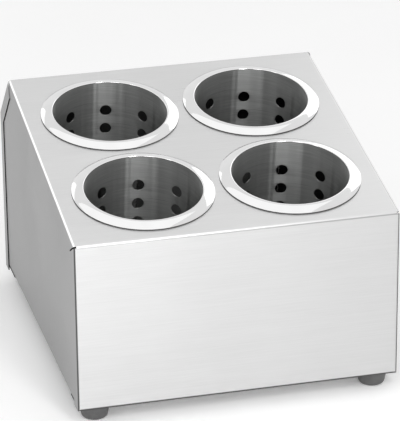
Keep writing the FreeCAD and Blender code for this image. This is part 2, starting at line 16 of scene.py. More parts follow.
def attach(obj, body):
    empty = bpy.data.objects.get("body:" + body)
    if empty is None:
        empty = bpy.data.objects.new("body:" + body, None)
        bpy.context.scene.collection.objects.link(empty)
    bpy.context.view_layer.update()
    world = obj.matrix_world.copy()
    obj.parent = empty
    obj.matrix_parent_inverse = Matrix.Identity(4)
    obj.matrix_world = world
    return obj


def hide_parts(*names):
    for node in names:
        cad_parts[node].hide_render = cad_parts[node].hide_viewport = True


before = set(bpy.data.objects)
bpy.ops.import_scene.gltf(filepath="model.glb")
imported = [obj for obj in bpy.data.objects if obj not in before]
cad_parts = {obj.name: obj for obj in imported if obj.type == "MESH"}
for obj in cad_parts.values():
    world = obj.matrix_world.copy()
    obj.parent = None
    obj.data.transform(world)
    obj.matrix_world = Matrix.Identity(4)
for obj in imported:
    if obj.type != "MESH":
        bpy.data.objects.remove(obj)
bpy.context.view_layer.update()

# %% [markdown]
# Blender counts in metres and the drawing of the dispenser in millimetres, so
# one name turns the one into the other. Every size of the part that the new
# pieces or a finish needs is written here once, as on the drawing.

# %% Sizes
MM = 0.001

CUP_BORE = 97 * MM
CUP_WALL = 0.8 * MM
CUP_HEIGHT = 137 * MM
RIM_WIDTH = 9.2 * MM              # outside the wall
RIM_RISE = 4 * MM                 # top of the rim above the casing's top
RIM_EDGE = 1.1 * MM               # height of the rim's outer edge
RIM_CROWN = 18 * MM               # radius of the rim's rounded top
SEAT_CLEARANCE = 0.05 * MM        # between the rim's edge and the top
BASE_CORNER = 3 * MM              # outside radius between the cup's wall and base

HOLE_RADIUS = 5 * MM
HOLE_COLUMNS = 9
HOLE_ROWS = 6
FIRST_ROW = 28.2 * MM             # below the top of the rim
LAST_ROW = 18.8 * MM              # above the cup's underside
HOLE_TURN = math.radians(9)       # first column, from the back towards the right

RIM_GAP = 7 * MM                  # between neighbouring rims
FRONT_MARGIN = 11.5 * MM          # from the front fold to the rims, along the top
REAR_MARGIN = 14.9 * MM           # from the rims to the top's rear edge
SIDE_MARGIN = 14.5 * MM           # from the rims to the sides
BEVEL_RUN = 44 * MM               # depth of the bevel behind the top
GAP_BELOW_CUPS = 17.7 * MM        # from the casing's lower edge up to the front cups
FOOT_HEIGHT = 12.5 * MM
TOP_SLOPE = math.radians(10.13)

cup_radius = CUP_BORE / 2
cup_outer = cup_radius + CUP_WALL
rim_radius = cup_outer + RIM_WIDTH
cup_spacing = 2 * rim_radius + RIM_GAP
front_cup_along = FRONT_MARGIN + rim_radius
top_length = FRONT_MARGIN + 2 * rim_radius + cup_spacing + REAR_MARGIN
casing_depth = top_length * math.cos(TOP_SLOPE) + BEVEL_RUN
front_height = (GAP_BELOW_CUPS + (CUP_HEIGHT - RIM_RISE) * math.cos(TOP_SLOPE)
                - (front_cup_along - cup_outer) * math.sin(TOP_SLOPE))
print(f"cups {cup_spacing / MM:.1f} mm apart, casing {casing_depth / MM:.1f} mm deep, "
      f"front {front_height / MM:.1f} mm high")

# %% [markdown]
# The camera stands well back with a long lens, a little to the left of the
# front and above it, so the object keeps nearly parallel edges. It is aimed at
# a point inside the casing and then rolled by half a degree.

# %% Camera
CAMERA_PLACE = Vector((-0.5387, -2.1642, 1.0497))
CAMERA_AIM = Vector((0.0067, 0, 0.1110))
CAMERA_ROLL = math.radians(-0.53)
LENS = 242.8                      # millimetres, as the picture's height
PICTURE_HEIGHT = 36
CAMERA_REACH = 50                 # nothing further away is drawn

camera_data = bpy.data.cameras.new("camera")
camera_data.sensor_fit = "VERTICAL"
camera_data.sensor_height = PICTURE_HEIGHT
camera_data.lens = LENS
camera_data.clip_end = CAMERA_REACH
camera = bpy.data.objects.new("camera", camera_data)
bpy.context.collection.objects.link(camera)
aim = (CAMERA_AIM - CAMERA_PLACE).to_track_quat("-Z", "Y").to_matrix().to_4x4()
camera.matrix_world = (Matrix.Translation(CAMERA_PLACE) @ aim
                       @ Matrix.Rotation(CAMERA_ROLL, 4, "Z"))
bpy.context.scene.camera = camera
print("camera", round((CAMERA_AIM - CAMERA_PLACE).length, 2), "m away")

# %% [markdown]
# Colours are written as they look on a screen, as sRGB hex values, and one
# function turns them to the linear values that the renderer counts in. One
# other function adds a node to a material, with its settings and its links.
# A setting's name is a property of the node or else one of its sockets, and a
# socket given another node's output is linked to it.

# %% Colours and nodes
def linear(hex_colour):
    """Turn an sRGB hex colour to linear red, green, blue and alpha."""
    channels = [int(hex_colour[at:at + 2], 16) / 255 for at in (1, 3, 5)]
    return [c / 12.92 if c <= 0.04045 else ((c + 0.055) / 1.055) ** 2.4
            for c in channels] + [1]


def add(tree, kind, settings=None, **sockets):
    """Add a node, set its properties, and set or link its input sockets."""
    node = tree.nodes.new("ShaderNode" + kind)
    for name, setting in (settings or {}).items():
        setattr(node, name, setting)
    for name, given in sockets.items():
        key = int(name[1:]) if name[0] == "i" and name[1:].isdigit() else name.replace("_", " ")
        socket = node.inputs[key]
        if isinstance(given, bpy.types.NodeSocket):
            tree.links.new(given, socket)
        else:
            socket.default_value = given
    return node


def new_finish(name):
    """Start a material and return it with its node tree, emptied."""
    material = bpy.data.materials.new(name)
    material.use_nodes = True
    material.node_tree.nodes.clear()
    return material, material.node_tree


def close_finish(material, shader):
    """Link the finished shader to the material's output."""
    tree = material.node_tree
    add(tree, "OutputMaterial", Surface=shader.outputs[0])
    print("finish:", material.name, len(tree.nodes), "nodes")


# %% [markdown]
# ## Studio
# A plain pale floor under plain soft light. Steel has no colour of its own to
# show, only what stands round it, so each soft box is there for what mirrors
# it. The narrow strip and the two at the left draw the upright bands in the
# cups. The low one in front lights the front panel, more at the left than at
# the right. The overhead one whitens the front of the rims, and the two behind
# lift the top. Between them the surrounding is an even grey for lighting, and
# white where it is looked at, in a mirror too.

# %% Floor
FLOOR_SIZE = 8                    # metres, far past every edge of the picture
PAPER_FLECK = 25 * MM             # width of a barely darker fleck in the paper
PAPER_GLOW = 0.13                 # lifts the paper to white where it is looked at


def looked_at(tree):
    """Give 1 on a ray from the camera, a reflection or glass, and 0 on lighting rays."""
    rays = add(tree, "LightPath")
    seen = add(tree, "Math", {"operation": "MAXIMUM"},
               i0=rays.outputs["Is Camera Ray"], i1=rays.outputs["Is Glossy Ray"])
    seen = add(tree, "Math", {"operation": "MAXIMUM"},
               i0=seen.outputs[0], i1=rays.outputs["Is Transmission Ray"])
    return seen.outputs[0]


floor_mesh = bpy.data.meshes.new("studio_floor")
half = FLOOR_SIZE / 2
floor_mesh.from_pydata([(-half, -half, 0), (half, -half, 0), (half, half, 0), (-half, half, 0)],
                       [], [(0, 1, 2, 3)])
floor = bpy.data.objects.new("studio_floor", floor_mesh)
bpy.context.collection.objects.link(floor)

paper, tree = new_finish("white_paper_floor")
fleck = add(tree, "TexNoise", Scale=1 / PAPER_FLECK, Detail=4.0)
shade = add(tree, "MapRange", Value=fleck.outputs["Fac"], To_Min=0.97, To_Max=1.0)
matt = add(tree, "BsdfDiffuse", Color=shade.outputs[0])
glow = add(tree, "Math", {"operation": "MULTIPLY"}, i0=looked_at(tree), i1=PAPER_GLOW)
glow = add(tree, "Emission", Strength=glow.outputs[0])
lit = add(tree, "AddShader", i0=matt.outputs[0], i1=glow.outputs[0])
close_finish(paper, lit)
floor.data.materials.append(paper)

# %% World and soft boxes
WORLD_LIGHT = 0.55
WHITE = linear("#FFFFFF")
SOFT_BOXES = (
    # name, place, aim, width and height, watts
    ("soft_box_strip", (0.25, -1.55, 1.6), (0, 0, 0.05), (0.3, 1.0), 8.1),
    ("soft_box_left", (-0.62, -1.5, 1.5), (0, 0, 0.05), (0.5, 0.9), 3.4),
    ("soft_box_far_left", (-1.34, -0.84, 1.3), (0, 0, 0.05), (0.3, 0.8), 1.5),
    ("soft_box_front", (-0.25, -1.5, 0.4), (0, -0.15, 0.1), (1.1, 0.6), 4.8),
    ("soft_box_rear_left", (-0.95, 1.4, 0.8), (0, 0, 0.1), (1.2, 1.0), 2.0),
    ("soft_box_rear_right", (1.3, 1.4, 1.2), (0.1, 0, 0.17), (1.3, 1.3), 3.7),
    ("soft_box_overhead", (-0.25, 0.05, 1.9), (0, 0, 0.1), (2.1, 2.1), 4.0),
)

world = bpy.data.worlds.new("studio")
bpy.context.scene.world = world
world.use_nodes = True
tree = world.node_tree
tree.nodes.clear()
around = add(tree, "Background", Color=WHITE, Strength=WORLD_LIGHT)
behind = add(tree, "Background", Color=WHITE, Strength=1.0)
mixed = add(tree, "MixShader", Fac=looked_at(tree), i1=around.outputs[0], i2=behind.outputs[0])
add(tree, "OutputWorld", Surface=mixed.outputs[0])


def soft_box(name, place, aim, size, watts):
    """Hang a soft box of a width and height and turn it towards a point."""
    lamp = bpy.data.lights.new(name, "AREA")
    lamp.shape = "RECTANGLE"
    lamp.size, lamp.size_y = size
    lamp.energy = watts
    box = bpy.data.objects.new(name, lamp)
    bpy.context.collection.objects.link(box)
    place, aim = Vector(place), Vector(aim)
    box.matrix_world = (Matrix.Translation(place)
                        @ (aim - place).to_track_quat("-Z", "Y").to_matrix().to_4x4())
    print("soft box", name, watts, "W")


for each in SOFT_BOXES:
    soft_box(*each)

bpy.context.scene.view_settings.view_transform = "Standard"

# %% [markdown]
# ## Finishes
# The casing is stainless steel sheet, EN 1.4301, ground along its length with
# a fine belt. The belt leaves hair-fine scratches in one direction. The sheet
# was folded afterwards, so they run from side to side over the front, the top
# and the back, and upright on the sides. A scratch spreads a reflection across
# itself and keeps it sharp along itself. That is anisotropy, and it is why the
# front panel is nearly as bright at its foot as at its top. The sides are given
# a darker colour than the rest, as painted shade.
#
# The inside of the casing is coloured a flat dark grey, as painted shade for
# the dim hollow, so the finish first has to know which face it is on: a point is
# outside if it lies just under one of the planes that enclose the casing.

# %% Outer skin of the casing
half_width = cup_spacing / 2 + rim_radius + SIDE_MARGIN
half_depth = casing_depth / 2
across_top = Vector((0, -math.sin(TOP_SLOPE), math.cos(TOP_SLOPE)))
across_bevel = Vector((0, 1, 1)).normalized()
front_fold = Vector((0, -half_depth, front_height + FOOT_HEIGHT))
rear_fold = front_fold + top_length * Vector((0, math.cos(TOP_SLOPE), math.sin(TOP_SLOPE)))
OUTER_PLANES = (
    (Vector((-1, 0, 0)), half_width),
    (Vector((1, 0, 0)), half_width),
    (Vector((0, -1, 0)), half_depth),
    (Vector((0, 1, 0)), half_depth),
    (across_top, across_top.dot(front_fold)),
    (across_bevel, across_bevel.dot(rear_fold)),
    (Vector((0, 0, -1)), -FOOT_HEIGHT),
)
SKIN = 0.85 * MM                  # less than the sheet, more than a bend falls back


def outer_skin(tree, point):
    """Give 1 on the casing's outer faces and bends and 0 on its inside."""
    outermost = None
    for normal, distance in OUTER_PLANES:
        reach = add(tree, "VectorMath", {"operation": "DOT_PRODUCT"}, i0=point, i1=normal)
        outside = add(tree, "Math", {"operation": "GREATER_THAN"},
                      i0=reach.outputs["Value"], i1=distance - SKIN)
        outermost = outside if outermost is None else add(
            tree, "Math", {"operation": "MAXIMUM"}, i0=outermost.outputs[0], i1=outside.outputs[0])
    return outermost.outputs[0]


# %% [markdown]
# One noise, stretched along the scratches, gives the grain. It is stretched
# from side to side or upright, by which way the face looks, and it varies both
# the tone and the gloss. A second, very wide noise is the handling that leaves
# a sheet a little smoother in some places than in others.

# %% Finish: brushed sheet
# The scratches are about 0.1 mm apart, too fine for the picture, so they are
# drawn 0.7 mm apart and 40 mm long.
SCRATCH_STEP = 0.7 * MM
SCRATCH_LENGTH = 40 * MM
HANDLED_PATCH = 111 * MM
SIDE_FACING = 0.7                 # a face that looks further sideways is a side
QUARTER_TURN = 0.25               # so that light spreads across the scratches

sheet_steel, tree = new_finish("brushed_stainless_sheet")
where = add(tree, "TexCoord")
facing = add(tree, "SeparateXYZ", Vector=where.outputs["Normal"])
sideways = add(tree, "Math", {"operation": "ABSOLUTE"}, i0=facing.outputs["X"])
on_side = add(tree, "Math", {"operation": "GREATER_THAN"},
              i0=sideways.outputs[0], i1=SIDE_FACING)
fine, long = 1 / SCRATCH_STEP, 1 / SCRATCH_LENGTH
along_x = add(tree, "Mapping", Vector=where.outputs["Object"], Scale=(long, fine, fine))
along_z = add(tree, "Mapping", Vector=where.outputs["Object"], Scale=(fine, fine, long))
grain_at = add(tree, "Mix", {"data_type": "VECTOR"}, Factor=on_side.outputs[0],
               i4=along_x.outputs[0], i5=along_z.outputs[0])
grain_way = add(tree, "Mix", {"data_type": "VECTOR"}, Factor=on_side.outputs[0],
                i4=(1, 0, 0), i5=(0, 0, 1))
grain = add(tree, "TexNoise", Vector=grain_at.outputs[1], Scale=1.0, Detail=3.0, Roughness=0.6)
handling = add(tree, "TexNoise", Vector=where.outputs["Object"],
               Scale=1 / HANDLED_PATCH, Detail=2.0)
level_grain = add(tree, "Mix", {"data_type": "RGBA"}, Factor=grain.outputs["Fac"],
                  i6=linear("#CACACA"), i7=linear("#D9D9D9"))
# painted shade: the sides' grain is coloured darker than the front's and top's
upright_grain_and_shade = add(tree, "Mix", {"data_type": "RGBA"}, Factor=grain.outputs["Fac"],
                    i6=linear("#B6B6B6"), i7=linear("#C2C2C2"))
ground = add(tree, "Mix", {"data_type": "RGBA"}, Factor=on_side.outputs[0],
             i6=level_grain.outputs[2], i7=upright_grain_and_shade.outputs[2])
gloss = add(tree, "MapRange", Value=grain.outputs["Fac"], From_Min=0.3, From_Max=0.7,
            To_Min=0.3, To_Max=0.4)
worn = add(tree, "MapRange", Value=handling.outputs["Fac"], From_Min=0.35, From_Max=0.65,
           To_Min=-0.03, To_Max=0.03)
rough = add(tree, "Math", {"operation": "ADD"}, i0=gloss.outputs[0], i1=worn.outputs[0])

# %% [markdown]
# The bends get painted shade: a thin grey line down each corner, under the
# lower edges and at the foot of the fold above the front. The fold at the left
# of the top gets a painted highlight, a white line in its colour.
# A bend is where the surface looks two ways at once. The product of those two
# parts of its direction is 0 on a flat face and 0.5 in the middle of a square
# bend, which gives a mark its place and a soft border. The lower edges and the
# fold above the front are marked on one half only, so there the parts of the
# direction are taken one by one.

# %% Marks on the bends
FOLD_HIGHLIGHT_FROM, FOLD_HIGHLIGHT_FULL = -0.3, -0.44          # left times up
CORNER_FROM, CORNER_FULL = 0.34, 0.46           # sideways times forward or back
TURNED_DOWN_FROM, TURNED_DOWN_FULL = -0.05, -0.3    # under the lower edges
FLAT_UNDERSIDE, OFF_UNDERSIDE = -0.97, -0.9     # the flanges themselves stay bright
TURNED_UP_FROM, TURNED_UP_FULL = 0.05, 0.15     # where the front starts to turn up
OFF_FRONT, ON_FRONT = -0.82, -0.9               # and still looks mostly forward
FRONT_FOLD_SHADE = 0.5                            # the painted shade at the fold above the front is lighter

# painted highlight: the fold at the left of the top is coloured nearly white
left_and_up = add(tree, "Math", {"operation": "MULTIPLY"},
                  i0=facing.outputs["X"], i1=facing.outputs["Z"])
painted_fold_highlight = add(tree, "MapRange", Value=left_and_up.outputs[0],
             From_Min=FOLD_HIGHLIGHT_FROM, From_Max=FOLD_HIGHLIGHT_FULL)
ground = add(tree, "Mix", {"data_type": "RGBA"}, Factor=painted_fold_highlight.outputs[0],
             i6=ground.outputs[2], i7=linear("#FCFCFC"))

corner = add(tree, "Math", {"operation": "MULTIPLY"},
             i0=facing.outputs["X"], i1=facing.outputs["Y"])
corner = add(tree, "Math", {"operation": "ABSOLUTE"}, i0=corner.outputs[0])
corner = add(tree, "MapRange", Value=corner.outputs[0],
             From_Min=CORNER_FROM, From_Max=CORNER_FULL)
below = add(tree, "MapRange", Value=facing.outputs["Z"],
            From_Min=TURNED_DOWN_FROM, From_Max=TURNED_DOWN_FULL)
not_flat = add(tree, "MapRange", Value=facing.outputs["Z"],
               From_Min=FLAT_UNDERSIDE, From_Max=OFF_UNDERSIDE)
below = add(tree, "Math", {"operation": "MULTIPLY"}, i0=below.outputs[0], i1=not_flat.outputs[0])
leaning = add(tree, "MapRange", Value=facing.outputs["Z"],
              From_Min=TURNED_UP_FROM, From_Max=TURNED_UP_FULL, To_Max=FRONT_FOLD_SHADE)
forward = add(tree, "MapRange", Value=facing.outputs["Y"], From_Min=OFF_FRONT, From_Max=ON_FRONT)
front_fold_foot = add(tree, "Math", {"operation": "MULTIPLY"},
                      i0=leaning.outputs[0], i1=forward.outputs[0])
# painted shade on the bends, mixed in as a dark grey
painted_bend_shade = add(tree, "Math", {"operation": "MAXIMUM"}, i0=corner.outputs[0], i1=below.outputs[0])
painted_bend_shade = add(tree, "Math", {"operation": "MAXIMUM"},
             i0=painted_bend_shade.outputs[0], i1=front_fold_foot.outputs[0])
with_bend_shade = add(tree, "Mix", {"data_type": "RGBA"}, Factor=painted_bend_shade.outputs[0],
           i6=ground.outputs[2], i7=linear("#5F5F5F"))
# painted shade: the casing's inside is a flat dark grey
tone = add(tree, "Mix", {"data_type": "RGBA"}, Factor=outer_skin(tree, where.outputs["Object"]),
           i6=linear("#707070"), i7=with_bend_shade.outputs[2])

# %% [markdown]
# The rear panel's returns lap over the sides, so their cut edges stand proud
# and show as a line down each side. Their nearly black colour is partly the
# laser's dark cut and partly painted shade for the crevice beside them. Along
# the mitre above they are dressed with a file, and paler.

# %% Cut edges of the rear panel
RETURN_PROUD = 0.1 * MM           # less than the sheet that a return stands out by
EDGE_FACING = -0.5                # the edges look forward, a return's face doesn't
MITRE_FACING = 0.1                # and along the mitre they look up as well

position = add(tree, "SeparateXYZ", Vector=where.outputs["Object"])
outward = add(tree, "Math", {"operation": "ABSOLUTE"}, i0=position.outputs["X"])
lapped = add(tree, "Math", {"operation": "GREATER_THAN"},
             i0=outward.outputs[0], i1=half_width + RETURN_PROUD)
on_edge = add(tree, "Math", {"operation": "LESS_THAN"},
              i0=facing.outputs["Y"], i1=EDGE_FACING)
cut_edge = add(tree, "Math", {"operation": "MULTIPLY"}, i0=lapped.outputs[0], i1=on_edge.outputs[0])
mitred = add(tree, "Math", {"operation": "GREATER_THAN"},
             i0=facing.outputs["Z"], i1=MITRE_FACING)
# partly painted shade: the cut edges are nearly black, the mitre paler
edge_dark_and_shade = add(tree, "Mix", {"data_type": "RGBA"}, Factor=mitred.outputs[0],
            i6=linear("#141414"), i7=linear("#909090"))
tone = add(tree, "Mix", {"data_type": "RGBA"}, Factor=cut_edge.outputs[0],
           i6=tone.outputs[2], i7=edge_dark_and_shade.outputs[2])

# %% Shader of the brushed sheet
GRAZING_TINT = "#C5C5C5"          # takes a little off the reflection at a slant

relief = add(tree, "Bump", Strength=0.2, Distance=0.01 * MM, Height=grain.outputs["Fac"])
shader = add(tree, "BsdfPrincipled", Base_Color=tone.outputs[2], Metallic=1.0,
             Roughness=rough.outputs[0], Specular_Tint=linear(GRAZING_TINT),
             Anisotropic=0.8, Anisotropic_Rotation=QUARTER_TURN, Tangent=grain_way.outputs[1],
             Normal=relief.outputs[0])
close_finish(sheet_steel, shader)

# %% [markdown]
# The corner plates are blanks sheared from plain mill-finished sheet: an even
# dull grey, a little cloudy from the pickling bath, with no direction at all.

# %% Finish: mill plate
PICKLING_CLOUD = 5.56 * MM
MILL_PORE = 0.4 * MM              # really about 0.02 mm, too fine to show

mill_steel, tree = new_finish("mill_finish_stainless_plate")
where = add(tree, "TexCoord")
cloud = add(tree, "TexNoise", Vector=where.outputs["Object"], Scale=1 / PICKLING_CLOUD,
            Detail=5.0)
pores = add(tree, "TexNoise", Vector=where.outputs["Object"], Scale=1 / MILL_PORE, Detail=2.0)
tone = add(tree, "Mix", {"data_type": "RGBA"}, Factor=cloud.outputs["Fac"],
           i6=linear("#BABABA"), i7=linear("#CBCBCB"))
rough = add(tree, "MapRange", Value=cloud.outputs["Fac"], To_Min=0.38, To_Max=0.52)
relief = add(tree, "Bump", Strength=0.3, Distance=0.01 * MM, Height=pores.outputs["Fac"])
shader = add(tree, "BsdfPrincipled", Base_Color=tone.outputs[2], Metallic=1.0,
             Roughness=rough.outputs[0], Normal=relief.outputs[0])
close_finish(mill_steel, shader)

# %% [markdown]
# A cup's wall is ground with a fine pad while the cup turns, so its hairlines
# run round it. Hairlines spread light across themselves: a lamp becomes an
# upright streak, which is what anisotropy draws. The tangent node gives every
# point the direction round the cup's own axis. The sheet was also rolled up in
# small steps. That leaves faint upright flats, and they break the streaks into
# bands from light to dark.

# %% Finish: cup wall
# Real hairlines are about 0.05 mm apart; these are 0.5 mm, to be seen at all.
HAIRLINE_STEP = 0.5 * MM
HAIRLINE_LENGTH = 30 * MM
FLAT_WIDTH = 8 * MM

cup_steel, tree = new_finish("turned_satin_stainless")
where = add(tree, "TexCoord")
fine, long = 1 / HAIRLINE_STEP, 1 / HAIRLINE_LENGTH
line_at = add(tree, "Mapping", Vector=where.outputs["Object"], Scale=(long, long, fine))
lines = add(tree, "TexNoise", Vector=line_at.outputs[0], Scale=1.0, Detail=3.0, Roughness=0.6)
flat_at = add(tree, "Mapping", Vector=where.outputs["Object"],
              Scale=(1 / FLAT_WIDTH, 1 / FLAT_WIDTH, 0))
flats = add(tree, "TexNoise", Vector=flat_at.outputs[0], Scale=1.0, Detail=1.0, Roughness=0.4)
# partly painted shade: the wall's grey is darker than the casing's steel, for the dim inside of the
# cup
tone = add(tree, "Mix", {"data_type": "RGBA"}, Factor=lines.outputs["Fac"],
           i6=linear("#7B7C7B"), i7=linear("#ADAEAD"))
rough = add(tree, "MapRange", Value=lines.outputs["Fac"], From_Min=0.3, From_Max=0.7,
            To_Min=0.4, To_Max=0.52)
round_axis = add(tree, "Tangent", {"direction_type": "RADIAL", "axis": "Z"})
rolled = add(tree, "Bump", Strength=1.0, Distance=1 * MM, Height=flats.outputs["Fac"])
relief = add(tree, "Bump", Strength=0.3, Distance=0.01 * MM, Height=lines.outputs["Fac"],
             Normal=rolled.outputs[0])
shader = add(tree, "BsdfPrincipled", Base_Color=tone.outputs[2], Metallic=1.0,
             Roughness=rough.outputs[0], Anisotropic=0.95, Anisotropic_Rotation=QUARTER_TURN,
             Tangent=round_axis.outputs[0], Normal=relief.outputs[0])
close_finish(cup_steel, shader)

# %% [markdown]
# The cup's base is pressed from the same sheet and welded in. It is only satin
# from the press, with faint clouds and no direction.

# %% Finish: cup base
PRESS_CLOUD = 6.67 * MM

base_steel, tree = new_finish("pressed_satin_stainless")
where = add(tree, "TexCoord")
cloud = add(tree, "TexNoise", Vector=where.outputs["Object"], Scale=1 / PRESS_CLOUD, Detail=4.0)
tone = add(tree, "Mix", {"data_type": "RGBA"}, Factor=cloud.outputs["Fac"],
           i6=linear("#7D7D7D"), i7=linear("#999999"))
rough = add(tree, "MapRange", Value=cloud.outputs["Fac"], To_Min=0.4, To_Max=0.52)
relief = add(tree, "Bump", Strength=0.3, Distance=0.02 * MM, Height=cloud.outputs["Fac"])
shader = add(tree, "BsdfPrincipled", Base_Color=tone.outputs[2], Metallic=1.0,
             Roughness=rough.outputs[0], Normal=relief.outputs[0])
close_finish(base_steel, shader)

# %% [markdown]
# The rim is buffed to a mirror with a cloth wheel. A mirror that was buffed by
# hand is never quite even: the surface rolls by a few thousandths of a
# millimetre, and cutlery has left a few fine scratches round it. The wheel
# doesn't reach the cut edge and the underside, which stay dull; their dark grey
# is partly painted shade for the gap under the rim.

# %% Finish: polished rim
BUFFING_WAVE = 16.67 * MM
SCUFF_WIDTH = 0.385 * MM          # really a tenth of that, too fine to show
SCUFF_LENGTH = 11.1 * MM

rim_steel, tree = new_finish("mirror_polished_stainless")
where = add(tree, "TexCoord")
wave = add(tree, "TexNoise", Vector=where.outputs["Object"], Scale=1 / BUFFING_WAVE, Detail=1.0)
fine, long = 1 / SCUFF_WIDTH, 1 / SCUFF_LENGTH
scuff_at = add(tree, "Mapping", Vector=where.outputs["Object"], Scale=(long, long, fine))
scuffs = add(tree, "TexNoise", Vector=scuff_at.outputs[0], Scale=1.0, Detail=2.0)
tone = add(tree, "Mix", {"data_type": "RGBA"}, Factor=wave.outputs["Fac"],
           i6=linear("#D7D7D7"), i7=linear("#E1E1E1"))
rough = add(tree, "MapRange", Value=scuffs.outputs["Fac"], From_Min=0.45, From_Max=0.75,
            To_Min=0.05, To_Max=0.12)
relief = add(tree, "Bump", Strength=0.25, Distance=0.04 * MM, Height=wave.outputs["Fac"])
shader = add(tree, "BsdfPrincipled", Base_Color=tone.outputs[2], Metallic=1.0,
             Roughness=rough.outputs[0], Normal=relief.outputs[0])
close_finish(rim_steel, shader)

# %% [markdown]
# The rim's edge and underside are as the shears left them. A sheared edge is
# torn across the sheet, in furrows taller than they are wide. Its dark grey is
# partly painted shade for the gap under the rim.

# %% Finish: sheared edge
FURROW_WIDTH = 0.833 * MM         # really about 0.1 mm, too fine to show
FURROW_HEIGHT = 3.33 * MM

shaded_edge_steel, tree = new_finish("sheared_edge_painted_shade")
where = add(tree, "TexCoord")
across, up = 1 / FURROW_WIDTH, 1 / FURROW_HEIGHT
tear_at = add(tree, "Mapping", Vector=where.outputs["Object"], Scale=(across, across, up))
tears = add(tree, "TexNoise", Vector=tear_at.outputs[0], Scale=1.0, Detail=3.0)
# partly painted shade: the edge's dark grey stands in for the shadow under the rim
tone = add(tree, "Mix", {"data_type": "RGBA"}, Factor=tears.outputs["Fac"],
           i6=linear("#4D4D4D"), i7=linear("#6C6C6C"))
rough = add(tree, "MapRange", Value=tears.outputs["Fac"], To_Min=0.5, To_Max=0.7)
relief = add(tree, "Bump", Strength=0.5, Distance=0.02 * MM, Height=tears.outputs["Fac"])
shader = add(tree, "BsdfPrincipled", Base_Color=tone.outputs[2], Metallic=1.0,
             Roughness=rough.outputs[0], Normal=relief.outputs[0])
close_finish(shaded_edge_steel, shader)

# %% [markdown]
# The feet are moulded from grey rubber. Mould release and handling leave the
# rubber matt and slightly mottled, with a skin as fine as orange peel.

# %% Finish: rubber
RUBBER_MOTTLE = 3.85 * MM
SKIN_PEEL = 0.556 * MM

rubber, tree = new_finish("moulded_grey_rubber")
where = add(tree, "TexCoord")
mottle = add(tree, "TexNoise", Vector=where.outputs["Object"], Scale=1 / RUBBER_MOTTLE,
             Detail=4.0)
peel = add(tree, "TexNoise", Vector=where.outputs["Object"], Scale=1 / SKIN_PEEL, Detail=2.0)
tone = add(tree, "Mix", {"data_type": "RGBA"}, Factor=mottle.outputs["Fac"],
           i6=linear("#4F4F4F"), i7=linear("#686868"))
rough = add(tree, "MapRange", Value=mottle.outputs["Fac"], To_Min=0.38, To_Max=0.55)
relief = add(tree, "Bump", Strength=0.4, Distance=0.05 * MM, Height=peel.outputs["Fac"])
shader = add(tree, "BsdfPrincipled", Base_Color=tone.outputs[2],
             Roughness=rough.outputs[0], Normal=relief.outputs[0])
close_finish(rubber, shader)

# %% [markdown]
# Screws, washers and nuts are bright turned stainless. Tumbling in a drum
# rounds off the tool marks and leaves tiny dents that break up the gloss.

# %% Finish: fasteners
TUMBLING_DENT = 0.625 * MM
SMUDGE = 2 * MM

fastener_steel, tree = new_finish("tumbled_stainless_fastener")
where = add(tree, "TexCoord")
dents = add(tree, "TexVoronoi", Vector=where.outputs["Object"], Scale=1 / TUMBLING_DENT)
smudge = add(tree, "TexNoise", Vector=where.outputs["Object"], Scale=1 / SMUDGE, Detail=3.0)
tone = add(tree, "Mix", {"data_type": "RGBA"}, Factor=smudge.outputs["Fac"],
           i6=linear("#B5B5B5"), i7=linear("#D0D0D0"))
rough = add(tree, "MapRange", Value=smudge.outputs["Fac"], To_Min=0.2, To_Max=0.38)
relief = add(tree, "Bump", Strength=0.25, Distance=0.02 * MM, Height=dents.outputs["Distance"])
shader = add(tree, "BsdfPrincipled", Base_Color=tone.outputs[2], Metallic=1.0,
             Roughness=rough.outputs[0], Normal=relief.outputs[0])
close_finish(fastener_steel, shader)

# %% [markdown]
# Sheets, plates, feet and fasteners keep the shapes of the frame and only take
# a finish. The start of a node's name says which one.

# %% Dress the frame
FRAME_FINISHES = {
    "casing_hood": sheet_steel,
    "rear_panel": sheet_steel,
    "corner_plate": mill_steel,
    "foot_screws": fastener_steel,
    "foot_washers": fastener_steel,
    "foot_nuts": fastener_steel,
    "foot": rubber,               # after the longer names that start the same
    "cup_base": base_steel,
}


def finish_of(name):
    """Give the finish of a node of the frame, or None where a new mesh replaces it."""
    return next((finish for start, finish in FRAME_FINISHES.items()
                 if name.startswith(start)), None)


dressed = [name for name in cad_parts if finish_of(name)]
for name in dressed:
    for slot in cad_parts[name].material_slots:
        slot.material = finish_of(name)
print("dressed", len(dressed), "of", len(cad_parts), "nodes of the frame")

# %% [markdown]
# ## Cup wall
# The wall is a strip of perforated sheet, rolled up. It is drawn as such: flat,
# one cell round each hole, then wrapped round the cup. A cell goes from the
# round hole to its own oblong outline in a few rings of faces, and neighbours
# share the points of their outlines. Cutting the holes with a Boolean would
# leave long thin faces, which show as kinks when polished steel reflects.

# %% Flat pattern of one cell
SIDE_STEPS = 16                   # steps along the upper and lower side of a cell
UPRIGHT_STEPS = 4
SPREAD = (0.0, 0.22, 0.55, 1.0)   # rings from the hole's edge to the outline
HOLE_LIP = 0.15 * MM              # rounding of the hole's edge
LIP_STEPS = 3                     # rings of that rounding, on each face

cell_width = 2 * math.pi * cup_radius / HOLE_COLUMNS
row_pitch = (CUP_HEIGHT - FIRST_ROW - LAST_ROW) / (HOLE_ROWS - 1)


def cell_outline():
    """Give the outline's points with the direction from the hole that each belongs to."""
    right, top = cell_width / 2, row_pitch / 2
    corners = [Vector((right, -top)), Vector((right, top)),
               Vector((-right, top)), Vector((-right, -top))]
    outline = []
    for side, steps in enumerate((UPRIGHT_STEPS, SIDE_STEPS, UPRIGHT_STEPS, SIDE_STEPS)):
        start, end = corners[side], corners[(side + 1) % 4]
        for step in range(steps):
            share = step / steps
            angle = math.radians(90 * (side + share) - 45)
            outline.append((start.lerp(end, share), angle))
    return outline


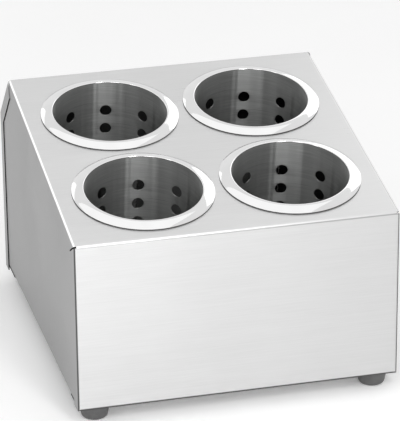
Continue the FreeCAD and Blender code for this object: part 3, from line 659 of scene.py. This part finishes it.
def cell_rings():
    """Give the rings of a cell, from the hole's edge out to the outline."""
    edge = HOLE_RADIUS + HOLE_LIP
    rings = []
    for share in SPREAD:
        rings.append([Vector((edge * math.cos(angle), edge * math.sin(angle))).lerp(point, share)
                      for point, angle in cell_outline()])
    return rings


print("one cell:", len(cell_outline()), "points round,", f"{cell_width / MM:.1f} mm wide")

# %% [markdown]
# Wrapping turns a distance along the strip into an angle. The inner and the
# outer face are wrapped from the same pattern at two radii, and the rounded
# edge of each hole joins them. The ends of the wall close with a ring.

# %% Wrap the wall
WALL_TOP_STEPS = 6                # rings of faces above the holes
WALL_FOOT_STEPS = 2               # and below them
WELD_WITHIN = 0.005 * MM
WALL_SHARP = math.radians(35)     # an edge that turns by less is shaded smooth


def wrapped(along, height, radius):
    """Wrap a point of the flat strip round the cup's axis."""
    angle = HOLE_TURN + along / cup_radius
    return Vector((radius * math.sin(angle), radius * math.cos(angle), height))


def bridge(mesh, rings):
    """Fill in the faces between each closed ring of vertices and the next."""
    for ring, following in zip(rings, rings[1:]):
        for at in range(len(ring)):
            after = (at + 1) % len(ring)
            mesh.faces.new((ring[at], ring[after], following[after], following[at]))


def lip_rings():
    """Give the rings of a hole's rounded edge, each with its depth under the wall's face."""
    rings = []
    for step in range(1, LIP_STEPS + 1):
        turn = math.radians(90 * step / LIP_STEPS)
        radius = HOLE_RADIUS + HOLE_LIP * (1 - math.sin(turn))
        points = [Vector((radius * math.cos(angle), radius * math.sin(angle)))
                  for _, angle in cell_outline()]
        rings.append((points, HOLE_LIP * (1 - math.cos(turn))))
    return rings


def wall_cell(mesh, along, height):
    """Wrap one cell and its hole: both faces of the wall, and the rounded edge between."""
    def ring_of(points, radius):
        return [mesh.verts.new(wrapped(along + x, height + y, radius)) for x, y in points]

    inner = [ring_of(points, cup_radius) for points in cell_rings()]
    outer = [ring_of(points, cup_outer) for points in cell_rings()]
    inner_lip = [ring_of(points, cup_radius + depth) for points, depth in lip_rings()]
    outer_lip = [ring_of(points, cup_outer - depth) for points, depth in lip_rings()]
    bridge(mesh, inner[::-1] + inner_lip + outer_lip[::-1] + outer)


def full_ring(mesh, radius, height):
    """Put a ring of points all round the cup, in line with the points of the cells."""
    return [mesh.verts.new(wrapped(at * cell_width / SIDE_STEPS, height, radius))
            for at in range(SIDE_STEPS * HOLE_COLUMNS)]


def wall_end(mesh, join, end, steps):
    """Wrap a plain end of the wall: along the inner face, over the edge and back outside."""
    heights = [join + (end - join) * step / steps for step in range(steps + 1)]
    path = [(cup_radius, height) for height in heights]
    path += [(cup_outer, height) for height in reversed(heights)]
    bridge(mesh, [full_ring(mesh, radius, height) for radius, height in path])


def smooth_mesh(name, mesh, materials, sharp):
    """Weld, turn the faces outward, shade smooth up to a sharp angle, and store the mesh."""
    bmesh.ops.remove_doubles(mesh, verts=mesh.verts, dist=WELD_WITHIN)
    bmesh.ops.recalc_face_normals(mesh, faces=mesh.faces)
    for face in mesh.faces:
        face.smooth = True
    for edge in mesh.edges:
        edge.smooth = edge.is_manifold and edge.calc_face_angle() < sharp
    data = bpy.data.meshes.new(name)
    mesh.to_mesh(data)
    mesh.free()
    for material in materials:
        data.materials.append(material)
    print(name, len(data.polygons), "faces")
    return data


wall_top = RIM_RISE - CUP_WALL
wall_foot = RIM_RISE - CUP_HEIGHT + BASE_CORNER
first_row = RIM_RISE - FIRST_ROW
rows = [first_row - row * row_pitch for row in range(HOLE_ROWS)]

strip = bmesh.new()
for column in range(HOLE_COLUMNS):
    for height in rows:
        wall_cell(strip, column * cell_width, height)
wall_end(strip, rows[0] + row_pitch / 2, wall_top, WALL_TOP_STEPS)
wall_end(strip, rows[-1] - row_pitch / 2, wall_foot, WALL_FOOT_STEPS)
wall_mesh = smooth_mesh("cup_wall", strip, [cup_steel], WALL_SHARP)

# %% [markdown]
# ## Cup rim
# The rim is one section turned round the cup's axis: a tight inner lip, a
# gently domed top and a short upright edge. Only the domed top gets the mirror
# finish. The edge and the underside keep the sheared one, whose dark grey is
# partly painted shade, and that draws the thin dark line between a bright rim
# and the bright top.

# %% Section of the rim
INNER_LIP_STEPS = 6
CROWN_STEPS = 14
RIM_SHARP = math.radians(50)


def arc(start, end, radius, steps):
    """Points on the short arc between two points, with its centre to the right."""
    start, end = Vector(start), Vector(end)
    chord = end - start
    reach = math.sqrt(radius ** 2 - (chord.length / 2) ** 2)
    centre = (start + end) / 2 + Vector((chord.y, -chord.x)).normalized() * reach
    first, last = start - centre, end - centre
    sweep = first.angle_signed(last)
    return [centre + Matrix.Rotation(-sweep * step / steps, 2) @ first
            for step in range(steps + 1)]


def crown_height(radius):
    """Height of the straight line from the inner lip down to the rim's edge."""
    share = (radius - cup_outer) / RIM_WIDTH
    return RIM_RISE + (RIM_EDGE - RIM_RISE) * min(max(share, 0), 1)


lip_foot = (cup_radius, wall_top)
lip_top = (cup_outer, RIM_RISE)
crown_end = (rim_radius, RIM_EDGE)
under_edge = rim_radius - CUP_WALL
under_corner = (cup_outer, wall_top)
section = arc(lip_foot, lip_top, CUP_WALL, INNER_LIP_STEPS)
section += arc(lip_top, crown_end, RIM_CROWN, CROWN_STEPS)[1:]
section += [Vector((rim_radius, SEAT_CLEARANCE)), Vector((under_edge, SEAT_CLEARANCE))]
section += arc(under_corner, (under_edge, RIM_EDGE - CUP_WALL / 2),
               RIM_CROWN - CUP_WALL, CROWN_STEPS)[::-1]
print("rim section:", len(section), "points")

# %% Turn the rim
turning = bmesh.new()
rings = [full_ring(turning, radius, height) for radius, height in section]
bridge(turning, rings + rings[:1])
for face in turning.faces:
    middle = face.calc_center_median()
    on_crown = middle.z > RIM_EDGE and middle.z > crown_height(middle.xy.length) - CUP_WALL / 2
    face.material_index = 0 if on_crown else 1
rim_mesh = smooth_mesh("cup_rim", turning, [rim_steel, shaded_edge_steel], RIM_SHARP)

# %% [markdown]
# All four cups are the same, so they share the two meshes. Both are drawn with
# Z square to the sloping top and their origin in the middle of the well, on the
# top's face. Each pair rides on its own cup's body and lifts out with it.

# %% Hang the cups
CUPS = {
    # name: side of the middle, row from the front
    "front_left": (-1, 0),
    "front_right": (1, 0),
    "rear_left": (-1, 1),
    "rear_right": (1, 1),
}


def well_frame(side, row):
    """Frame of a well: origin in its middle on the top, Z square to the top."""
    along = front_cup_along + row * cup_spacing
    place = Vector((side * cup_spacing / 2,
                    along * math.cos(TOP_SLOPE) - casing_depth / 2,
                    along * math.sin(TOP_SLOPE) + front_height + FOOT_HEIGHT))
    return Matrix.Translation(place) @ Matrix.Rotation(TOP_SLOPE, 4, "X")


def hang(name, mesh, place, body):
    """Place a piece of a cup and let it ride on that cup's body."""
    piece = bpy.data.objects.new(name, mesh)
    bpy.context.collection.objects.link(piece)
    piece.matrix_world = place
    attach(piece, body)
    return piece


for cup, (side, row) in CUPS.items():
    place = well_frame(side, row)
    wall = hang(f"cup_wall_{cup}", wall_mesh, place, f"cup_{cup}")
    rim = hang(f"cup_rim_{cup}", rim_mesh, place, f"cup_{cup}")
    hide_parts(f"cup_shell_{cup}")
    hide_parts(f"cup_shell_{cup}")
    print("cup", cup, "at", [round(value / MM, 1) for value in place.translation])
